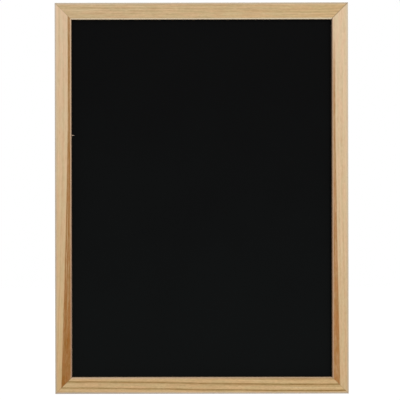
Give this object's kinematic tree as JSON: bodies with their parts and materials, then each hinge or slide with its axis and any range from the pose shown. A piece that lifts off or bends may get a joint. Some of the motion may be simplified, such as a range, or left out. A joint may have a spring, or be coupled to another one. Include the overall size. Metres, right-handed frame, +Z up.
{
  "type": "magnetic board",
  "caption": "Framed magnetic board: a black steel sheet in a mitred pine moulding, with D-ring hangers and bumpers on its back, to hang upright on a wall.",
  "frame": {"origin": "centre of the wall plane: on the board's centre lines in width and height, level with the rear faces of the two bumpers", "axes": "+X across the board to the viewer's right, +Y from the working side through the board towards the wall, +Z up the height of the board"},
  "size_m": [0.3, 0.0195, 0.4],
  "materials": {
    "pine_top": "planed bare pine, fine straight grain",
    "pine_bottom": "planed bare pine, two dark latewood lines",
    "pine_left": "planed bare pine, dark latewood along the inner edge",
    "pine_right": "planed bare pine, dark latewood along the inner edge",
    "black_sheet": "matt black powder coat on steel",
    "hardboard": "smooth brown hardboard",
    "bright_steel": "bare rolled steel",
    "zinc_plate": "bright zinc-plated strip",
    "zinc_wire": "bright zinc-plated wire",
    "zinc_screw": "bright zinc-plated screw",
    "grey_rubber": "matt dark grey rubber"
  },
  "bodies": {
    "board": {"top_rail": "pine_top", "bottom_rail": "pine_bottom", "left_stile": "pine_left", "right_stile": "pine_right", "steel_sheet": "black_sheet", "backing_board": "hardboard", "top_left_v_nails": "bright_steel", "top_right_v_nails": "bright_steel", "bottom_left_v_nails": "bright_steel", "bottom_right_v_nails": "bright_steel", "top_rail_points": "bright_steel", "bottom_rail_points": "bright_steel", "left_stile_points": "bright_steel", "right_stile_points": "bright_steel", "left_hanger_strap": "zinc_plate", "right_hanger_strap": "zinc_plate", "left_hanger_screw": "zinc_screw", "right_hanger_screw": "zinc_screw", "left_bumper": "grey_rubber", "right_bumper": "grey_rubber"},
    "left_ring": {"left_hanger_ring": "zinc_wire"},
    "right_ring": {"right_hanger_ring": "zinc_wire"}
  },
  "joints": [
    {"name": "left_ring_swing", "type": "hinge", "parent": "board", "child": "left_ring", "pos_m": [-0.1438, -0.00282, 0.14], "axis": [1, 0, 0], "range_deg": [0, 172]},
    {"name": "right_ring_swing", "type": "hinge", "parent": "board", "child": "right_ring", "pos_m": [0.1438, -0.00282, 0.14], "axis": [1, 0, 0], "range_deg": [0, 172]}
  ]
}
